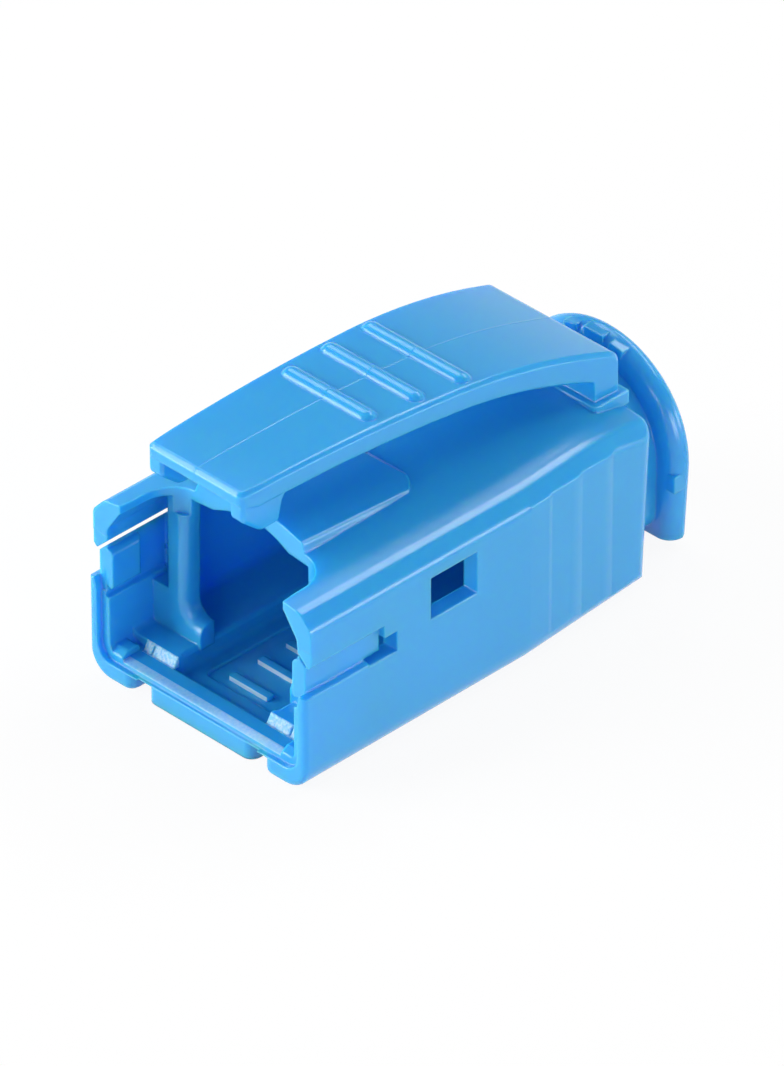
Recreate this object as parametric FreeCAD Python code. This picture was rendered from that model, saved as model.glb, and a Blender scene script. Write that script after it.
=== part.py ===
import FreeCAD, Part
import math
import os

# Strain-relief boot for an 8P8C (RJ45) modular plug, moulded in one piece.
# Millimetres, +Z up. The shape is drawn with its front near y = 0 and the cable
# end at +Y, then moved so that the origin is under the middle of the bounding box,
# on the face it rests on.

V = FreeCAD.Vector

# ---- shell -----------------------------------------------------------------
HALF_W = 7.0            # half of the outer width at the front
FRONT_Y = -0.18         # front rim of the shell and of the latch guard
FRAME_Y = 0.14          # front of the inner frame
PAD_Y = -0.04           # front of the pad under the sill
BODY_L = 23.15          # rear wall, at its top
BOTTOM_R = 1.34         # long rounded edges underneath
SIDE_H = 8.7            # where the side wall turns into the shoulder
SHOULDER_X = 6.26       # half-width at the top of the shoulder
SHOULDER_Z = 9.5
SHOULDER_R = 0.60       # round along both edges of the shoulder
CROWN_Z = 10.42         # where the two roof slopes would meet
CROWN_R = 37.0
TAPER_Y = 14.2          # sides run straight up to here
REAR_HALF_W = 6.34      # half-width at the rear wall
REAR_SLANT = 3.9        # degrees by which each side turns inwards
REAR_LEAN = 2.8         # degrees, the rear wall draws in downwards
REAR_R = 1.0            # rounds of the rear end: upright edges and roof edge
REAR_TOP_R = 0.5
REAR_LOW_R = 1.2
BEND_Y = 17.5           # the roof bends down from here
BEND_R = 22.5
BEND_TURN = 35.0        # degrees, past the rear wall

# grip steps on both sides: (start of the round, foot of the step, half-widths)
GRIPS = ((14.85, 15.70, 6.97, 6.86),
         (16.95, 17.85, 6.80, 6.68),
         (19.15, 20.05, 6.60, 6.47))

# ---- room for the plug -----------------------------------------------------
CAV_HALF_W = 6.1        # half-width between the walls
LINING_X = 5.98         # half-width between the thicker lower walls
LINING_Z = 4.25         # top of the thicker lower walls
SILL_Z = 1.28           # front sill
SILL_Y = 1.32
RAIL_Z = 1.74           # ledges the plug slides on
RAIL_X = 3.0            # inner edge of the ledges
RAIL_Y = 1.60
FLOOR_Z = 0.80          # channel floor between the ledges
CAV_STEP = 14.5         # behind this the ceiling is lower
CAV_REAR_TOP = 8.7
CAV_END = 21.3          # inside of the rear wall
CAV_END_HALF_W = 5.2

# ---- plug stops ------------------------------------------------------------
STOP_Y = 2.9
STOP_T = 0.9
STOP_R = 0.55           # round on the edge that guides the wires

# ---- split jaws ------------------------------------------------------------
JAW_Y = 0.20            # front of the upper jaw
HOOK_Y = 0.22           # front of the snap hooks
HOOK_L = 1.9
HOOK_X = 5.80           # inner face of the hooks
TONGUE_X = 6.62         # outer face of the thin upper edge of the lower jaw
LEDGE_Z = 5.18          # top of the lower jaw's outer wall
SLIT_Z = 7.24           # slit height at the inner wall face
SLIT_H = 0.20
SLIT_SLOPE = 0.97       # the slit drops outwards at nearly 45 degrees
SLIT_END = 4.85
JAW_TIP_X = 6.80        # the upper jaw's lower outer corner is blunted from here
JAW_TIP_Z = 6.88        # up to here
SLOT_END = 5.66         # rear end of the relief window behind the tongue
SLOT_TOP = 6.20

# ---- side window -----------------------------------------------------------
WIN_Y0, WIN_Y1 = 7.78, 10.76
WIN_Z0, WIN_Z1 = 5.74, 8.02

# ---- opening in the roof over the plug's latch -----------------------------
NOTCH_X = 5.1
NOTCH_Y = 3.40
NOTCH_R = 1.6

# ---- raised latch channel in the roof --------------------------------------
CHAN_TOP_X = 3.36
CHAN_FOOT_X = 3.55
CHAN_END = 10.9
CHAN_PITCH = -3.5       # degrees, rising towards the front

# ---- latch guard (sprung lever) --------------------------------------------
LEVER_FRONT_HALF = 3.05
LEVER_REAR_HALF = 4.12
LEVER_END = 22.95
LEVER_RISE = 0.035      # slope of the top at its front edge
LEVER_TOP = ((FRONT_Y, 14.41), (12.80, 14.10), (21.80, 12.12))
LEVER_UNDER = ((0.85, 13.40), (12.80, 13.02), (20.80, 10.98))
LEVER_LIP_Z = 13.74     # lower front edge
LEVER_EDGE = 0.20       # small bevel around the top face
LEVER_REAR_R = 0.90
FOOT_Y0 = 21.30
FOOT_PAD_X = 4.45
FOOT_PAD_Z = 9.7
RIBS = ((8.30, 2.92), (11.05, 3.20), (13.80, 3.38))
RIB_H = 0.32
RIB_R = 0.54
EAR_X = 2.14            # inner face of the lobes under the guard's front corners

# ---- cable end -------------------------------------------------------------
AXIS_Z = 4.47
NECK_HALF = 4.25
NECK_BOTTOM = 0.62
FLANGE_R = 5.4
FLANGE_BOTTOM = 0.42
FLANGE_LEAN = 3.25      # degrees, the flange's sides draw in downwards
FLANGE_Y0 = 25.25
FLANGE_BEVEL = 0.30     # rear rim
FLANGE_ROUND = 0.80     # front rim
REAR_Y = 26.5
BORE_R = 3.2


# ---- helpers ---------------------------------------------------------------
def rounded(corners, place):
    """Closed wire with one round per corner; corners are (a, b, radius)."""
    count = len(corners)
    marks = []
    for i, (a, b, r) in enumerate(corners):
        pa, pb, _ = corners[i - 1]
        na, nb, _ = corners[(i + 1) % count]
        lu = math.hypot(pa - a, pb - b)
        lv = math.hypot(na - a, nb - b)
        u = ((pa - a) / lu, (pb - b) / lu)
        v = ((na - a) / lv, (nb - b) / lv)
        if r <= 0:
            marks.append(((a, b), None, (a, b)))
            continue
        half = math.acos(max(-1.0, min(1.0, u[0] * v[0] + u[1] * v[1]))) / 2
        t = r / math.tan(half)
        w = (u[0] + v[0], u[1] + v[1])
        lw = math.hypot(w[0], w[1])
        w = (w[0] / lw, w[1] / lw)
        reach = r / math.sin(half) - r
        start = (a + u[0] * t, b + u[1] * t)
        middle = (a + w[0] * reach, b + w[1] * reach)
        end = (a + v[0] * t, b + v[1] * t)
        marks.append((start, middle, end))
    edges = []
    for i, (start, middle, end) in enumerate(marks):
        if middle is not None:
            arc = Part.Arc(place(*start), place(*middle), place(*end))
            edges.append(arc.toShape())
        following = marks[(i + 1) % count][0]
        if math.hypot(following[0] - end[0], following[1] - end[1]) > 1e-6:
            edges.append(Part.makeLine(place(*end), place(*following)))
    return Part.Wire(edges)


def along_y(corners, y0, y1):
    """Prism of an (x, z) outline between two y values."""
    wire = rounded(corners, lambda a, b: V(a, y0, b))
    return Part.Face(wire).extrude(V(0, y1 - y0, 0))


def along_z(corners, z0, z1):
    """Prism of an (x, y) outline between two z values."""
    wire = rounded(corners, lambda a, b: V(a, b, z0))
    return Part.Face(wire).extrude(V(0, 0, z1 - z0))


def along_x(corners, x0, x1):
    """Prism of a (y, z) outline between two x values."""
    wire = rounded(corners, lambda a, b: V(x0, a, b))
    return Part.Face(wire).extrude(V(x1 - x0, 0, 0))


def box(x0, x1, y0, y1, z0, z1):
    return Part.makeBox(x1 - x0, y1 - y0, z1 - z0, V(x0, y0, z0))


def mirrored(shape):
    return shape.mirror(V(0, 0, 0), V(1, 0, 0))


def both(shape):
    return [shape, mirrored(shape)]


def symmetric(right_half):
    """Full outline from its right half, listed from bottom to top."""
    left = [(-a, b, r) for a, b, r in reversed(right_half) if a != 0]
    return list(right_half) + left


def tangent_chain(points, slope):
    """Arcs in the (y, z) plane, each tangent to the last, through the points."""
    direction = (1.0, slope)
    edges = []
    for (y0, z0), (y1, z1) in zip(points, points[1:]):
        length = math.hypot(*direction)
        direction = (direction[0] / length, direction[1] / length)
        chord = (y1 - y0, z1 - z0)
        normal = (-direction[1], direction[0])
        lean = chord[0] * normal[0] + chord[1] * normal[1]
        radius = (chord[0] ** 2 + chord[1] ** 2) / (2 * lean)
        centre = (y0 + normal[0] * radius, z0 + normal[1] * radius)
        out = ((y0 + y1) / 2 - centre[0], (z0 + z1) / 2 - centre[1])
        scale = abs(radius) / math.hypot(*out)
        middle = (centre[0] + out[0] * scale, centre[1] + out[1] * scale)
        arc = Part.Arc(V(0, y0, z0), V(0, *middle), V(0, y1, z1))
        edges.append(arc.toShape())
        direction = (-(z1 - centre[1]) / radius, (y1 - centre[0]) / radius)
    return edges, direction[1] / direction[0]


# ---- shell -----------------------------------------------------------------
def shell_section(y, bottom, bottom_r, side_r):
    right = [(HALF_W, bottom, bottom_r), (HALF_W, SIDE_H, side_r),
             (SHOULDER_X, SHOULDER_Z, SHOULDER_R), (0.0, CROWN_Z, CROWN_R)]
    return Part.Face(rounded(symmetric(right), lambda a, b: V(a, y, b)))


def turned_in(shape):
    """Turns a shape about the upright line where the right side starts to slant."""
    shape.rotate(V(HALF_W, TAPER_Y, 0), V(0, 0, 1), REAR_SLANT)
    return shape


def rear_half():
    """Right half of the slanting rear, whose roof bends down at the end."""
    start = TAPER_Y - 3.0
    straight = shell_section(start, -2.0, 0, 0.08).extrude(V(0, BEND_Y - start, 0))
    axis = V(0, BEND_Y, SHOULDER_Z - BEND_R)
    bend = shell_section(BEND_Y, -2.0, 0, 0.08).revolve(axis, V(1, 0, 0), -BEND_TURN)
    under = along_y([(-HALF_W, 0.0, BOTTOM_R), (HALF_W, 0.0, BOTTOM_R), (HALF_W, 14.0, 0),
                     (-HALF_W, 14.0, 0)], start, BODY_L + 1.0)
    half = turned_in(straight.fuse(bend).removeSplitter().common(under))
    room = box(0, 9, 0, BODY_L + 1, -1, 12)
    return half.common(room).common(behind_mitre())


def behind_mitre():
    """Space behind the upright plane where the straight and slanting halves meet."""
    turn = math.radians(REAR_SLANT / 2)
    back = TAPER_Y - HALF_W * math.tan(turn)
    front = TAPER_Y + 2 * math.tan(turn)
    return along_z([(0, back, 0), (HALF_W + 2, front, 0), (HALF_W + 2, 30, 0), (0, 30, 0)], -3, 14)


def shell_blank():
    """Straight front, and a rear whose halves slant inwards from a mitre."""
    front = shell_section(FRONT_Y, 0.0, BOTTOM_R, SHOULDER_R)
    front = front.extrude(V(0, TAPER_Y + 1 - FRONT_Y, 0))
    front = front.common(box(0, 9, -1, 20, -1, 12)).cut(behind_mitre())
    half = front.fuse(rear_half())
    blank = half.fuse(mirrored(half)).removeSplitter()
    blank = blank.common(end_block())
    return blank.makeFillet(REAR_TOP_R, [e for e in blank.Edges if rear_roof_edge(e)])


def end_block():
    """Plan of the shell with the grips, its rear wall leaning and rounded."""
    lean = math.tan(math.radians(REAR_LEAN))
    low_y = BODY_L - SHOULDER_Z * lean
    wedge = along_x([(low_y - 1.5 * lean, -1.5, 0), (BODY_L + 6 * lean, SHOULDER_Z + 6, 0),
                     (BODY_L + 5, SHOULDER_Z + 6, 0), (BODY_L + 5, -1.5, 0)], -9, 9)
    block = grip_outline().cut(wedge)
    block = block.makeFillet(REAR_R, [e for e in block.Edges if rear_corner(e)])
    start = low_y + REAR_LOW_R * (lean - 1)
    corner = box(-9, 9, start, BODY_L + 1, -2, REAR_LOW_R)
    round_bar = Part.makeCylinder(REAR_LOW_R, 18, V(-9, start, REAR_LOW_R), V(1, 0, 0))
    return block.cut(corner.cut(round_bar))


def rear_corner(edge):
    bounds = edge.BoundBox
    return bounds.YMin > BODY_L - 1.2 and bounds.ZLength > 8


def grip_outline():
    """Plan of the shell with three rounded steps on each side of the rear."""
    def side(s):
        last = V(s * (HALF_W + 0.5), TAPER_Y, -1)
        edges = [Part.makeLine(V(s * (HALF_W + 0.5), -1, -1), last)]
        for y0, y1, x0, x1 in GRIPS:
            edges.append(Part.makeLine(last, V(s * x0, y0, -1)))
            middle = V(s * (x0 - (x0 - x1) / 4), (y0 + y1) / 2, -1)
            arc = Part.Arc(V(s * x0, y0, -1), middle, V(s * x1, y1, -1))
            edges.append(arc.toShape())
            last = V(s * x1, y1, -1)
        end = V(s * REAR_HALF_W, BODY_L + 1, -1)
        edges.append(Part.makeLine(last, end))
        return edges, end

    right, right_end = side(1)
    left, left_end = side(-1)
    front = Part.makeLine(V(-HALF_W - 0.5, -1, -1), V(HALF_W + 0.5, -1, -1))
    rear = Part.makeLine(right_end, left_end)
    ordered = Part.sortEdges(right + left + [front, rear])[0]
    return Part.Face(Part.Wire(ordered)).extrude(V(0, 0, 14))


def rear_roof_edge(edge):
    bounds = edge.BoundBox
    return bounds.YMin > BODY_L - 0.6 and bounds.ZMax > 8.0


# ---- inside ----------------------------------------------------------------
def cavity():
    top = [(CAV_HALF_W + 0.03, 7.95, 0.5), (5.25, 9.25, 0.35), (0.0, 9.36, 0)]
    front = symmetric([(LINING_X, SILL_Z, 0.5), (LINING_X, LINING_Z, 0),
                       (CAV_HALF_W + 0.1, LINING_Z + 0.1, 0)] + top)
    mid = symmetric([(RAIL_X, FLOOR_Z, 0.25), (RAIL_X, RAIL_Z, 0.2),
                     (LINING_X, RAIL_Z, 0.3), (LINING_X, LINING_Z, 0),
                     (CAV_HALF_W + 0.1, LINING_Z + 0.1, 0)] + top)
    back = symmetric([(RAIL_X, FLOOR_Z, 0.25), (RAIL_X, RAIL_Z, 0.2),
                      (CAV_HALF_W, RAIL_Z, 0.4)] + top)
    rear = symmetric([(RAIL_X, FLOOR_Z, 0.25), (RAIL_X, RAIL_Z, 0.2),
                      (CAV_HALF_W, RAIL_Z, 0.4), (CAV_HALF_W, 7.6, 0.5),
                      (5.0, CAV_REAR_TOP - 0.1, 0.35), (0.0, CAV_REAR_TOP, 0)])
    plan = along_z([(-CAV_HALF_W - 0.2, 3.5, 0), (CAV_HALF_W + 0.2, 3.5, 0),
                    (CAV_HALF_W, TAPER_Y - 1, 0),
                    (CAV_END_HALF_W, CAV_END, 0.8),
                    (-CAV_END_HALF_W, CAV_END, 0.8),
                    (-CAV_HALF_W, TAPER_Y - 1, 0)], 0.0, 12.0)
    room = along_y(front, -1.0, RAIL_Y)
    room = room.fuse(box(-RAIL_X, RAIL_X, SILL_Y, RAIL_Y + 0.2, FLOOR_Z, SILL_Z + 0.2))
    room = room.fuse(along_y(mid, RAIL_Y, STOP_Y + 1.0))
    room = room.fuse(along_y(back, STOP_Y + 0.9, CAV_STEP).common(plan))
    room = room.fuse(along_y(rear, CAV_STEP, CAV_END).common(plan))
    return room


def sill_details():
    """Sloped lead-in on the sill, corner blocks and ramps of the ledges."""
    lead_in = along_x([(-1.0, 1.16, 0), (0.12, 1.16, 0), (0.56, SILL_Z, 0),
                       (0.56, 1.6, 0), (-1.0, 1.6, 0)], -5.1, 5.1)
    blocks = both(along_x([(0.14, 1.0, 0), (0.14, 1.36, 0.1), (0.5, 1.62, 0.2),
                           (1.2, 1.62, 0.2), (1.34, 1.0, 0)], 5.15, 6.3))
    ramp = along_x([(1.28, 1.1, 0), (1.28, 1.2, 0), (RAIL_Y, RAIL_Z, 0),
                    (RAIL_Y + 0.3, RAIL_Z, 0), (RAIL_Y + 0.3, 1.1, 0)], RAIL_X, 5.0)
    gap = box(4.42, 4.52, 1.2, RAIL_Y, SILL_Z, 2.5)
    return lead_in, blocks, both(ramp.cut(gap))


def plug_stops():
    """Upright stops with spread feet, rounded on the edge beside the wires."""
    foot = along_y([(6.6, 1.5, 0), (2.9, 1.5, 0), (2.9, 2.78, 0), (3.86, 2.78, 0.93),
                    (3.72, 9.5, 0), (4.95, 9.5, 0), (4.95, 3.97, 0.1),
                    (6.6, 3.97, 0)], STOP_Y, STOP_Y + STOP_T)
    edges = [e for e in foot.Edges if inner_front_edge(e)]
    return both(foot.makeFillet(STOP_R, edges))


def inner_front_edge(edge):
    bounds = edge.BoundBox
    on_front = abs(bounds.YMin - STOP_Y) < 1e-4 and abs(bounds.YMax - STOP_Y) < 1e-4
    return on_front and 2.95 < bounds.XMax < 3.9 and bounds.ZMax > 3.2


def floor_panel():
    """Shallow sunk panel in the channel floor with three plain raised bars."""
    panel = along_z([(-2.2, 2.5, 0.3), (2.2, 2.5, 0.3), (2.2, 8.2, 0.3),
                     (-2.2, 8.2, 0.3)], FLOOR_Z - 0.12, FLOOR_Z + 0.1)
    bars = [along_z([(-1.27, y - 0.24, 0.12), (1.27, y - 0.24, 0.12),
                     (1.27, y + 0.24, 0.12), (-1.27, y + 0.24, 0.12)],
                    FLOOR_Z - 0.2, FLOOR_Z + 0.08) for y in (3.3, 5.1, 6.9)]
    return panel, bars


# ---- front of the body -----------------------------------------------------
def roof_notch():
    side_y = NOTCH_Y - 0.25
    right = [(NOTCH_X + 0.25, -1.0, 0), (NOTCH_X + 0.08, 1.0, 0),
             (NOTCH_X, side_y, NOTCH_R), (0.0, NOTCH_Y + 0.12, 12.0)]
    return along_z(symmetric(right), 8.4, 13.0)


def latch_channel():
    """Raised middle of the roof and the groove under it for the plug's latch."""
    outer = along_y(symmetric([(CHAN_FOOT_X, 9.2, 0), (CHAN_FOOT_X, 9.75, 0),
                               (CHAN_TOP_X, 10.34, 0.22), (0.0, 11.0, 15.0)]),
                    NOTCH_Y - 0.4, CHAN_END)
    inner = along_y(symmetric([(2.75, 8.9, 0), (2.62, 9.2, 0), (0.0, 10.72, 5.5)]),
                    NOTCH_Y - 1.0, CHAN_END - 1.8)
    for shape in (outer, inner):
        shape.rotate(V(0, NOTCH_Y, 9.8), V(1, 0, 0), CHAN_PITCH)
    bevel = along_x([(CHAN_END - 1.8, 11.2, 0), (CHAN_END + 0.2, 9.8, 0),
                     (CHAN_END + 1.5, 9.8, 0), (CHAN_END + 1.5, 11.2, 0)], -5, 5)
    plan = along_z([(-CHAN_FOOT_X - 0.1, 0, 0), (CHAN_FOOT_X + 0.1, 0, 0),
                    (CHAN_FOOT_X + 0.1, CHAN_END, 1.9), (-CHAN_FOOT_X - 0.1, CHAN_END, 1.9)],
                   8.0, 12.0)
    return outer.cut(bevel).common(plan), inner


def slit_z(x, offset):
    return SLIT_Z + offset - SLIT_SLOPE * (x - CAV_HALF_W)


def jaw_cuts():
    """Everything that splits the front into an upper and a lower jaw."""
    up, low = SLIT_H / 2, -SLIT_H / 2
    wide = HALF_W + 0.6
    slit = along_y([(5.4, slit_z(5.4, low), 0), (wide, slit_z(wide, low), 0),
                    (wide, slit_z(wide, up), 0), (5.4, slit_z(5.4, up), 0)],
                   -1.0, SLIT_END)
    recess = along_y([(TONGUE_X, LEDGE_Z + 0.12, 0), (HALF_W, LEDGE_Z, 0), (wide, LEDGE_Z, 0),
                      (wide, JAW_TIP_Z + 0.7, 0), (HALF_W, JAW_TIP_Z, 0.1),
                      (JAW_TIP_X, slit_z(JAW_TIP_X, up), 0.1), (TONGUE_X, slit_z(TONGUE_X, up), 0)],
                     -1.0, SLIT_END)
    relief = box(5.3, wide, SLIT_END, SLOT_END, 5.10, SLOT_TOP)
    low_slot = box(5.3, wide, 3.9, SLIT_END, 5.10, 5.34)
    set_back = along_y([(5.0, slit_z(5.0, low), 0), (wide, slit_z(wide, low), 0),
                        (wide, 11.5, 0), (4.0, 11.5, 0), (4.0, 8.4, 0)], -1.0, JAW_Y)
    hook_back = along_y([(5.2, 4.3, 0), (6.46, 4.6, 0), (TONGUE_X, LEDGE_Z + 0.12, 0),
                         (HALF_W, LEDGE_Z, 0), (wide, LEDGE_Z, 0), (wide, 7.6, 0), (5.2, 7.6, 0)],
                        -1.0, HOOK_Y)
    return [slit, recess, relief, low_slot, set_back, hook_back]


def hooks():
    """Snap hooks on the inner face of the lower jaw's thin edge."""
    hook = along_y([(HOOK_X, 4.72, 0.15), (6.3, 4.9, 0), (6.3, 6.85, 0),
                    (HOOK_X, 7.1, 0.35)], HOOK_Y, HOOK_Y + HOOK_L)
    end = along_z([(HOOK_X - 0.2, HOOK_Y + HOOK_L - 0.35, 0), (6.16, HOOK_Y + HOOK_L + 0.2, 0),
                   (HOOK_X - 0.2, HOOK_Y + HOOK_L + 0.2, 0)], 4.0, 8.0)
    return both(hook.cut(end))


def front_steps():
    """Inner frame set back from the outer shell, and the two sill notches."""
    frame = along_y(symmetric([(6.48, 0.95, 0.9), (6.48, 5.6, 0)]), -1.0, FRAME_Y)
    pad = box(-3.9, 3.9, -1.0, PAD_Y, -0.5, 1.2)
    return [frame, pad] + both(sill_notch(3.42, 4.22, PAD_Y))


def sill_notch(x0, x1, pad_y):
    """Slot from below whose mouth is flared by round corners on both sides."""
    depth, flare, z = 1.7, 0.55, -0.5
    k = flare * (1 - math.sqrt(0.5))
    inner = Part.Arc(V(x0 - flare, pad_y, z), V(x0 - k, pad_y + k, z), V(x0, pad_y + flare, z))
    rim = FRONT_Y
    outer = Part.Arc(V(x1, rim + flare, z), V(x1 + k, rim + k, z), V(x1 + flare, rim, z))
    edges = [inner.toShape(), Part.makeLine(V(x0, pad_y + flare, z), V(x0, depth, z)),
             Part.makeLine(V(x0, depth, z), V(x1, depth, z)),
             Part.makeLine(V(x1, depth, z), V(x1, rim + flare, z)), outer.toShape(),
             Part.makeLine(V(x1 + flare, rim, z), V(x1 + flare, -1, z)),
             Part.makeLine(V(x1 + flare, -1, z), V(x0 - flare, -1, z)),
             Part.makeLine(V(x0 - flare, -1, z), V(x0 - flare, pad_y, z))]
    return Part.Face(Part.Wire(edges)).extrude(V(0, 0, 1.4))


def front_rounds(body):
    """Small rounds on the upright outer corners of the front."""
    edges = [e for e in body.Edges if upright_front_edge(e)]
    return body.makeFillet(0.3, edges)


def upright_front_edge(edge):
    bounds = edge.BoundBox
    upright = bounds.XLength < 1e-4 and bounds.YLength < 1e-4 and bounds.ZLength > 1.5
    return upright and bounds.YMax < 0.6 and abs(abs(bounds.XMax) - HALF_W) < 1e-3


# ---- latch guard -----------------------------------------------------------
def lever():
    top, slope = tangent_chain(LEVER_TOP, LEVER_RISE)
    under, under_slope = tangent_chain(LEVER_UNDER, LEVER_RISE)
    y_top, z_top = LEVER_TOP[-1]
    y_in, z_in = LEVER_UNDER[-1]
    rear_top = (LEVER_END, z_top + slope * (LEVER_END - y_top))
    inner_top = (FOOT_Y0, z_in + under_slope * (FOOT_Y0 - y_in))
    foot_z = 9.0
    corners = [LEVER_TOP[-1], rear_top, (LEVER_END, foot_z), (FOOT_Y0, foot_z),
               inner_top, LEVER_UNDER[-1]]
    lip = [LEVER_UNDER[0], (FRONT_Y, LEVER_LIP_Z), LEVER_TOP[0]]
    edges = top + under
    for chain in (corners, lip):
        edges += [Part.makeLine(V(0, *a), V(0, *b)) for a, b in zip(chain, chain[1:])]
    wire = Part.Wire(Part.sortEdges(edges)[0])
    slab = Part.Face(wire).extrude(V(12, 0, 0))
    slab.translate(V(-6, 0, 0))
    slab = slab.makeFillet(LEVER_REAR_R, [e for e in slab.Edges if cross_edge(e, *rear_top)])
    slab = slab.makeFillet(0.35, [e for e in slab.Edges if cross_edge(e, *inner_top)])
    plan = along_z([(-LEVER_FRONT_HALF, FRONT_Y, 0.4), (LEVER_FRONT_HALF, FRONT_Y, 0.4),
                    (LEVER_REAR_HALF, LEVER_END + 0.2, 0),
                    (-LEVER_REAR_HALF, LEVER_END + 0.2, 0)], 8.0, 16.0)
    guard = slab.common(plan)
    return guard.makeChamfer(LEVER_EDGE, [e for e in guard.Edges if on_lever_rim(e)])


def cross_edge(edge, y, z):
    bounds = edge.BoundBox
    return (bounds.XLength > 8 and abs(bounds.YMin - y) < 1e-3 and abs(bounds.YMax - y) < 1e-3
            and abs(bounds.ZMin - z) < 1e-3)


def on_lever_rim(edge):
    """Edges around the guard's top face, up to where it turns down at the rear."""
    middle = edge.valueAt((edge.FirstParameter + edge.LastParameter) / 2)
    bounds = edge.BoundBox
    upper = middle.z > lever_top_at(middle.y) - 0.03 and bounds.YMin < 21
    outline = abs(middle.x) > 2 or middle.y < 0.01
    return upper and outline


def lever_top_at(y):
    for (y0, z0), (y1, z1) in zip(LEVER_TOP, LEVER_TOP[1:]):
        if y0 <= y <= y1:
            return z0 + (z1 - z0) * (y - y0) / (y1 - y0)
    return LEVER_TOP[-1][1]


def ears():
    """Rounded lobes hanging from both front corners of the lever."""
    ear = along_x([(-0.1, 14.0, 0), (-0.1, 12.9, 0.5), (1.1, 11.9, 0.7),
                   (2.2, 11.9, 0.35), (2.46, 13.0, 0.2), (2.9, 13.6, 0),
                   (2.9, 14.0, 0)], EAR_X, LEVER_FRONT_HALF)
    front = [e for e in ear.Edges if e.BoundBox.ZMax < 13.3 and e.BoundBox.XLength < 1e-4
             and e.BoundBox.YMax < 1.6]
    return both(ear.makeChamfer(0.15, front))


def ribs(guard):
    """Three raised finger ribs with round ends, half sunk across the guard."""
    shapes = []
    for y, half in RIBS:
        line = Part.makeLine(V(0, y, 20), V(0, y, 13.6))
        z = max(v.Z for v in guard.common(line).Vertexes) + RIB_H - RIB_R
        end = half - RIB_R
        bar = Part.makeCylinder(RIB_R, 2 * end, V(-end, y, z), V(1, 0, 0))
        shapes.append(bar.fuse([Part.makeSphere(RIB_R, V(x, y, z)) for x in (-end, end)]))
    return shapes


def foot_pad():
    return along_z([(-FOOT_PAD_X, 20.95, 0.3), (FOOT_PAD_X, 20.95, 0.3),
                    (FOOT_PAD_X, BODY_L - 0.02, 0), (-FOOT_PAD_X, BODY_L - 0.02, 0)],
                   9.0, FOOT_PAD_Z)


# ---- cable end -------------------------------------------------------------
def arch(radius, half, bottom, y0, y1):
    """Arched plate: half circle about the cable axis on straight sides."""
    right = V(half, y0, AXIS_Z)
    left = V(-half, y0, AXIS_Z)
    edges = [Part.Arc(right, V(0, y0, AXIS_Z + radius), left).toShape(),
             Part.makeLine(left, V(-half, y0, bottom)),
             Part.makeLine(V(-half, y0, bottom), V(half, y0, bottom)),
             Part.makeLine(V(half, y0, bottom), right)]
    return Part.Face(Part.Wire(edges)).extrude(V(0, y1 - y0, 0))


def flange():
    """Arched end flange with softened rims and index blocks on its front."""
    lean = math.radians(FLANGE_LEAN)
    top = AXIS_Z + FLANGE_R
    half_angle = math.radians(90 - FLANGE_LEAN) / 2
    top_x = FLANGE_R / math.tan(half_angle)
    low = FLANGE_BOTTOM - 1.0
    low_x = top_x - (top - low) * math.tan(lean)
    outline = symmetric([(low_x, low, 0), (top_x, top, FLANGE_R - 0.01)])
    plate = along_y(outline, FLANGE_Y0, REAR_Y)
    plate = plate.makeFillet(FLANGE_ROUND, edges_at(plate, FLANGE_Y0))
    plate = plate.cut(box(-8, 8, FLANGE_Y0 - 1, REAR_Y + 1, low - 1, FLANGE_BOTTOM))
    plate = bevelled(plate, REAR_Y, FLANGE_BEVEL, -1)
    y0 = FLANGE_Y0 + 0.05
    y1 = FLANGE_Y0 + FLANGE_ROUND
    side_blocks = both(box(4.6, 5.36, y0, y1, 3.3, 4.2))
    upper_block = box(0.0, 0.85, y0, y1, top - 0.9, top - 0.08)
    upper_block.rotate(V(0, 0, AXIS_Z), V(0, 1, 0), 11.5)
    middle_block = box(-0.62, 0.62, y0, y1, top - 0.9, top - 0.05)
    return plate, side_blocks + both(upper_block) + [middle_block]


def bevelled(plate, y, size, inward):
    """Softens the rim of a plate at y by a bevel whose own two edges are bevelled."""
    plate = plate.makeChamfer(size, edges_at(plate, y))
    rims = edges_at(plate, y) + edges_at(plate, y + inward * size)
    return plate.makeChamfer(size / 3, rims)


def edges_at(shape, y):
    return [e for e in shape.Edges
            if abs(e.BoundBox.YMin - y) < 1e-3 and abs(e.BoundBox.YMax - y) < 1e-3]


def cable_end():
    neck = arch(NECK_HALF, NECK_HALF, NECK_BOTTOM, BODY_L - 1.0, FLANGE_Y0 + 0.3)
    low = [e for e in neck.Edges if e.BoundBox.ZMax < NECK_BOTTOM + 0.01 and e.BoundBox.YLength > 1]
    neck = neck.makeFillet(1.2, low)
    plate, blocks = flange()
    return [neck, plate] + blocks


# ---- assembly of the one moulding ------------------------------------------
def build():
    body = shell_blank()
    chan_outer, chan_inner = latch_channel()
    body = body.fuse(chan_outer)
    body = body.cut(cavity())
    body = body.fuse(plug_stops())
    lead_in, blocks, ramps = sill_details()
    body = body.cut(lead_in)
    body = body.fuse(blocks + ramps + hooks())
    body = body.cut([chan_inner, roof_notch()])
    for cutter in jaw_cuts():
        body = body.cut(both(cutter))
    body = body.cut(front_steps())
    body = front_rounds(body.removeSplitter())
    body = body.cut(both(box(5.0, 7.6, WIN_Y0, WIN_Y1, WIN_Z0, WIN_Z1)))
    panel, bars = floor_panel()
    body = body.cut(panel)
    body = body.fuse(bars)
    guard = lever()
    guard = guard.fuse(ears() + ribs(guard))
    body = body.fuse([guard, foot_pad()] + cable_end())
    bore = Part.makeCylinder(BORE_R, REAR_Y - CAV_END + 2.0,
                             V(0, CAV_END - 1.0, AXIS_Z), V(0, 1, 0))
    body = body.cut(bore)
    return body.removeSplitter()


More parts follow.
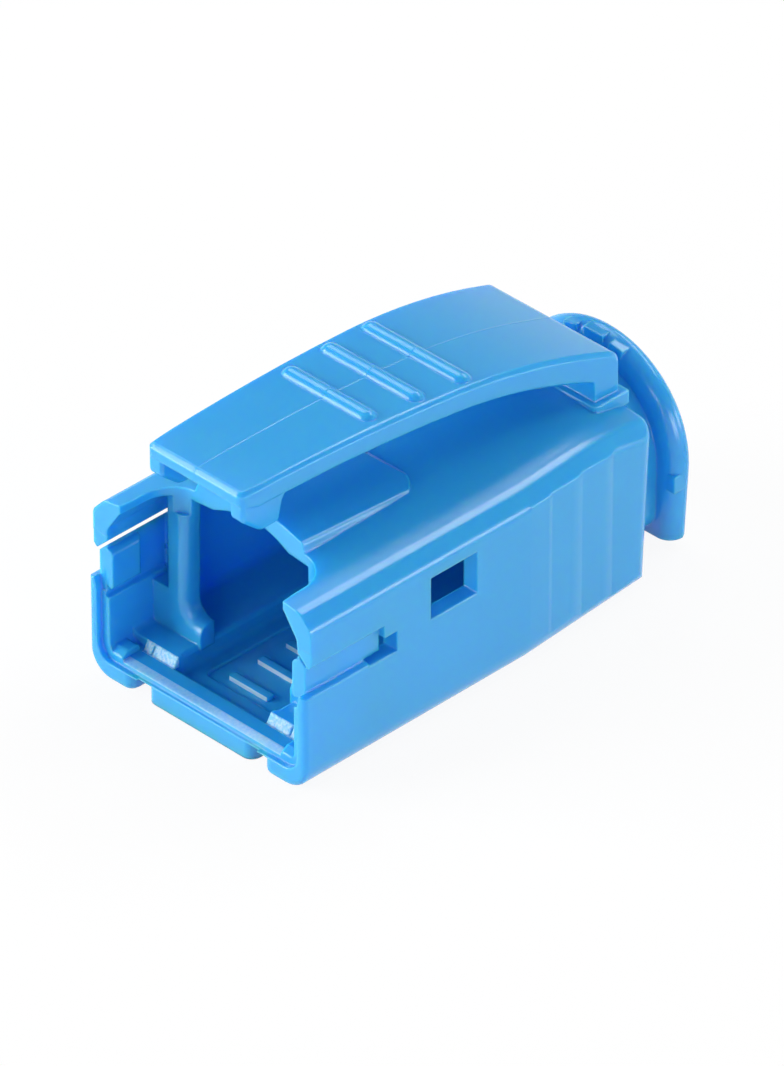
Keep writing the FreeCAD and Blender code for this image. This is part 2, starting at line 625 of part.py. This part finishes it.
boot = build()
solids = boot.Solids
boot = solids[0] if len(solids) == 1 else boot
boot.translate(V(0, -(FRONT_Y + REAR_Y) / 2, 0))
os.makedirs("parts", exist_ok=True)
boot.exportStep("parts/boot.step")
print("boot: %d solid(s), valid %s, volume %.1f mm3" % (len(solids), boot.isValid(), boot.Volume))
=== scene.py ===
import math

import bpy
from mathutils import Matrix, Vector

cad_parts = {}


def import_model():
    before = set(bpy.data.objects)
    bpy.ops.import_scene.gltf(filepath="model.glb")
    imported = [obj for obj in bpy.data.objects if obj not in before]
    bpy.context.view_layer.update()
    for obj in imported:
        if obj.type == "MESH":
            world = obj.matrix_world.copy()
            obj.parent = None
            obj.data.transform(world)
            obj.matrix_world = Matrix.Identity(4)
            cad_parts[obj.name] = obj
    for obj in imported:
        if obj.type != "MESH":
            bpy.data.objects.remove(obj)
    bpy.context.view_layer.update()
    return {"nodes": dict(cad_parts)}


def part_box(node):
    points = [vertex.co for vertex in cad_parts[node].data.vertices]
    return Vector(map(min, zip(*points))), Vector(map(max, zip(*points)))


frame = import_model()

# The boot is one moulding, so its CAD solid is the whole object. This script gives
# it its finish, and adds the floor, the lights and the camera.

MM = 0.001
LOW = Vector(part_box("boot")[0])

# ---- view: angles in degrees round from the front (-Y), and the point looked at
AZIMUTH = 45.10
ELEVATION = 34.66
DISTANCE = 537.9 * MM
LENS = 542.7                     # mm, on a sensor 36 mm wide
SENSOR = 36
CLIP = (0.01, 20)                # nearest and furthest that the camera sees, in metres
AIM = Vector((0.0, LOW.y, 0.0)) + Vector((0.48, 11.99, 5.34)) * MM

# ---- plastic ----------------------------------------------------------------
BLUE = (0.034, 0.410, 0.790)
DEEP_BLUE = (0.028, 0.386, 0.775)
SCATTER_BLUE = (0.12, 0.45, 1.20)   # how far each colour goes, as a share of SCATTER
SCATTER = 1.3 * MM
SCATTER_SHARE = 0.80
PVC_IOR = 1.54
COLOUR_PATCH = 5.0 * MM          # size of the patches of uneven colour
GLOSS_PATCH = 1.6 * MM
GLOSS = (0.16, 0.27)             # roughness where it shines most and least
EDGE_ROUND = 0.15 * MM
WAVE = 2.4 * MM                  # size of the waves left by the flow in the mould
WAVE_BUMP = (0.18, 0.05 * MM)    # strength and height of a bump, here and below

# marked faces, in mm: the middle and the reach of each, out from the middle of the boot, back
# from its front and up from its bottom. The ramps have a spark-eroded skin; the sill's lead-in
# and the bars' fronts carry a painted highlight.
RAMP = ((4.0, 1.02), (1.62, 0.20), (1.48, 0.27))
# painted highlight: a pale band on the sill's lead-in, standing in for a reflection
SILL_HIGHLIGHT_ZONE = ((0.0, 5.10), (0.52, 0.225), (1.22, 0.07))
BAR_PITCH = 1.80
# painted highlight: an even pale strip on each bar's front, standing in for light catching its
# edge
BAR_FRONT_HIGHLIGHTS = [((0.0, 1.22), (3.24 + bar * BAR_PITCH, 0.04), (0.79, 0.11)) for bar in range(3)]
# pale blue of the frosty spark-eroded ramps, and of the painted highlights on the sill's
# lead-in and bar fronts
FROST_AND_HIGHLIGHT_BLUE = (0.36, 0.60, 0.82)
RAMP_PALENESS = (0.38, 0.62, 0.20, 0.80)   # from and to in the grain, and in the paleness
# grain and paleness of the painted highlight on the sill's lead-in
SILL_HIGHLIGHT_PALENESS = (0.30, 0.70, 0.50, 0.78)
ERODED_GRAIN = 0.14 * MM
ERODED_BUMP = (0.9, 0.05 * MM)
ERODED_ROUGHNESS = 0.15          # added to the roughness on the ramps

# mould line along the guard
LINE_W = 0.06 * MM               # from its middle to where it ends
LINE_BUMP = (0.6, 0.02 * MM)
LINE_Z = 11.4 * MM               # lowest point of the guard's top with the line

# ---- studio: sizes and distances in metres ----------------------------------
WHITE = (1, 1, 1, 1)
FLOOR_GREY = (0.80, 0.80, 0.80, 1)
FLOOR_SIZE = 6.0
FLOOR_GLOW = 1.02                # makes the floor white to the camera
GLOW_SHARE = 0.90                # the rest of the floor takes light and shadow
DAYLIGHT = (0.97, 0.985, 1.0, 1)
DIM = 0.120                      # light that comes from everywhere
TOP_OF_BACKDROP = 0.25           # strength of the backdrop overhead, from 1 low down
BACKDROP_RISE = 0.5              # sine of the elevation where it has come down to that
LAMP_DISTANCE = 0.70
LAMPS = (                        # name, azimuth, elevation, width, height, watts
    ("key", -42, 17, 0.50, 0.45, 5.7),
    ("front", 28, 18, 0.30, 0.25, 0.8),
    ("back", 176, 51, 0.60, 0.17, 2.1),
    ("left", -112, 56, 0.35, 0.30, 1.2),
    ("fill", 127, 6, 0.26, 0.26, 1.25),
    ("side", 85, 4, 0.35, 0.35, 2.1),
)


class Nodes:
    """Short names for building the node tree of one material, or of the world."""

    def __init__(self, name, owner=None):
        self.owner = owner or bpy.data.materials.new(name)
        self.owner.use_nodes = True
        self.tree = self.owner.node_tree
        self.tree.nodes.clear()

    def add(self, kind, values=(), **settings):
        """New node; values are numbers, colours or sockets, by the name of the input."""
        node = self.tree.nodes.new("ShaderNode" + kind)
        for key, value in settings.items():
            setattr(node, key, value)
        for key, value in dict(values).items():
            if isinstance(value, bpy.types.NodeSocket):
                self.tree.links.new(value, node.inputs[key])
            else:
                node.inputs[key].default_value = value
        return node

    def output(self, kind, surface):
        self.tree.links.new(surface.outputs[0], self.add(kind).inputs[0])

    def math(self, operation, first, second=0.0):
        return self.add("Math", {0: first, 1: second}, operation=operation).outputs[0]

    def span(self, value, low, high, to_low=0.0, to_high=1.0):
        return self.add("MapRange", {"Value": value, "From Min": low, "From Max": high,
                                     "To Min": to_low, "To Max": to_high}).outputs[0]

    def place(self):
        return self.add("TexCoord").outputs["Object"]

    def noise(self, size, detail=1.0):
        """Noise whose lumps are about size metres across."""
        values = {"Vector": self.place(), "Scale": 1 / size, "Detail": detail}
        return self.add("TexNoise", values).outputs["Fac"]

    def near(self, value, middle, reach):
        """1 where value is within reach of middle."""
        return self.add("Math", {0: value, 1: middle, 2: reach}, operation="COMPARE").outputs[0]

    def colour_mix(self, factor, first, second):
        """Mix of two colours, the first of which may be another mix."""
        mix = self.add("Mix", {0: factor}, data_type="RGBA")
        colours = [s for s in mix.inputs if s.type == "RGBA"]
        if isinstance(first, bpy.types.NodeSocket):
            self.tree.links.new(first, colours[0])
        else:
            colours[0].default_value = (*first, 1)
        colours[1].default_value = (*second, 1)
        return [s for s in mix.outputs if s.type == "RGBA"][0]

    def bump(self, height, size, normal):
        return self.add("Bump", {"Height": height, "Strength": size[0],
                                 "Distance": size[1], "Normal": normal}).outputs[0]


def within(n, face):
    """1 on one of the marked faces, on both sides of the boot: the spark-eroded ramps, or the
    sill and bar fronts that carry a painted highlight.
    """
    x, y, z = n.add("SeparateXYZ", {0: n.place()}).outputs
    from_middle = n.math("ABSOLUTE", x)
    from_front = n.math("SUBTRACT", y, LOW.y)
    inside = [n.near(value, middle * MM, reach * MM)
              for value, (middle, reach) in zip((from_middle, from_front, z), face)]
    return n.math("MULTIPLY", n.math("MULTIPLY", inside[0], inside[1]), inside[2])


def mould_line(n):
    """Height of the fine raised line along the middle of the guard's top."""
    x, y, z = n.add("SeparateXYZ", {0: n.place()}).outputs
    ridge = n.span(n.math("ABSOLUTE", x), 0.0, LINE_W, 1.0, 0.0)
    return n.math("MULTIPLY", ridge, n.math("GREATER_THAN", z, LINE_Z))


def frost_and_painted_highlight(n, grain, ramps):
    """How pale the plastic is: a coarse frosty skin on the spark-eroded ramps, and a painted
    highlight, with finer grain on the sill's lead-in and even on the bars' fronts.
    """
    coarse = n.math("MULTIPLY", ramps, n.span(grain, *RAMP_PALENESS))
    # painted highlight on the sill's lead-in, with a grain
    sill_highlight = n.math("MULTIPLY", within(n, SILL_HIGHLIGHT_ZONE), n.span(grain, *SILL_HIGHLIGHT_PALENESS))
    frost_and_highlight = n.math("MAXIMUM", coarse, sill_highlight)
    # painted highlight on each bar's front
    for front in BAR_FRONT_HIGHLIGHTS:
        frost_and_highlight = n.math("MAXIMUM", frost_and_highlight, within(n, front))
    return frost_and_highlight


def plastic():
    """Glossy, translucent moulded PVC with a slight flow unevenness."""
    n = Nodes("boot_plastic")
    grain = n.noise(ERODED_GRAIN)
    ramps = within(n, RAMP)
    colour = n.colour_mix(n.noise(COLOUR_PATCH), DEEP_BLUE, BLUE)
    # pale blue: the ramps' frosty skin, and a painted highlight on the sill's lead-in and the
    # bars' fronts
    colour = n.colour_mix(frost_and_painted_highlight(n, grain, ramps), colour, FROST_AND_HIGHLIGHT_BLUE)
    gloss = n.span(n.noise(GLOSS_PATCH, 2.0), 0.0, 1.0, *GLOSS)
    roughness = n.math("ADD", gloss, n.math("MULTIPLY", ramps, ERODED_ROUGHNESS))
    edges = n.add("Bevel", {"Radius": EDGE_ROUND}, samples=8).outputs[0]
    soft = n.bump(n.noise(WAVE), WAVE_BUMP, edges)
    line = n.bump(mould_line(n), LINE_BUMP, soft)
    eroded = n.bump(n.math("MULTIPLY", grain, ramps), ERODED_BUMP, line)
    n.output("OutputMaterial", n.add("BsdfPrincipled", {
        "Base Color": colour, "Roughness": roughness, "IOR": PVC_IOR,
        "Subsurface Weight": SCATTER_SHARE, "Subsurface Radius": SCATTER_BLUE,
        "Subsurface Scale": SCATTER, "Normal": eroded}))
    return n.owner


def camera_rays(n):
    """1 for what the camera sees directly or in gloss or glass."""
    light = n.add("LightPath").outputs
    seen = n.math("MAXIMUM", light["Is Camera Ray"], light["Is Glossy Ray"])
    return n.math("MAXIMUM", seen, light["Is Transmission Ray"])


def floor():
    """White table, whose own glow to the camera leaves a light soft shadow."""
    bpy.ops.mesh.primitive_plane_add(size=FLOOR_SIZE, location=(0, 0, LOW.z))
    plane = bpy.context.object
    plane.name = "floor"
    n = Nodes("white_floor")
    matte = n.add("BsdfDiffuse", {"Color": FLOOR_GREY})
    glow = n.add("Emission", {"Color": WHITE, "Strength": FLOOR_GLOW})
    both = n.add("MixShader", {0: n.math("MULTIPLY", camera_rays(n), GLOW_SHARE),
                               1: matte.outputs[0], 2: glow.outputs[0]})
    n.output("OutputMaterial", both)
    plane.data.materials.append(n.owner)


def world():
    """Dim white studio, in which gloss shows a white backdrop low down all round."""
    sky = bpy.data.worlds.new("studio")
    n = Nodes("studio", sky)
    rise = n.add("SeparateXYZ", {0: n.add("TexCoord").outputs["Generated"]}).outputs[2]
    backdrop = n.span(rise, 0.0, BACKDROP_RISE, 1.0, TOP_OF_BACKDROP)
    strength = n.math("MAXIMUM", n.math("MULTIPLY", camera_rays(n), backdrop), DIM)
    n.output("OutputWorld", n.add("Background", {"Color": DAYLIGHT, "Strength": strength}))
    bpy.context.scene.world = sky


def place_on_dome(thing, azimuth, elevation, distance):
    """Puts a lamp or the camera round the point looked at, turned to it."""
    turn, rise = math.radians(azimuth), math.radians(elevation)
    back = Vector((math.cos(rise) * math.sin(turn), -math.cos(rise) * math.cos(turn),
                   math.sin(rise)))
    thing.location = AIM + back * distance
    thing.rotation_euler = back.to_track_quat("Z", "Y").to_euler()


def softbox(name, azimuth, elevation, width, height, watts):
    """Soft lamp on the studio's dome."""
    data = bpy.data.lights.new(name, "AREA")
    data.shape = "RECTANGLE"
    data.size = width
    data.size_y = height
    data.energy = watts
    lamp = bpy.data.objects.new(name, data)
    bpy.context.collection.objects.link(lamp)
    place_on_dome(lamp, azimuth, elevation, LAMP_DISTANCE)


def camera():
    data = bpy.data.cameras.new("view")
    data.sensor_width = SENSOR
    data.sensor_fit = "HORIZONTAL"
    data.lens = LENS
    data.clip_start, data.clip_end = CLIP
    view = bpy.data.objects.new("view", data)
    bpy.context.collection.objects.link(view)
    place_on_dome(view, AZIMUTH, ELEVATION, DISTANCE)
    bpy.context.scene.camera = view


camera()
finish = plastic()
for slot in frame["nodes"]["boot"].material_slots:
    slot.material = finish
floor()
world()
for lamp in LAMPS:
    softbox(*lamp)

bpy.context.scene.view_settings.view_transform = "Standard"
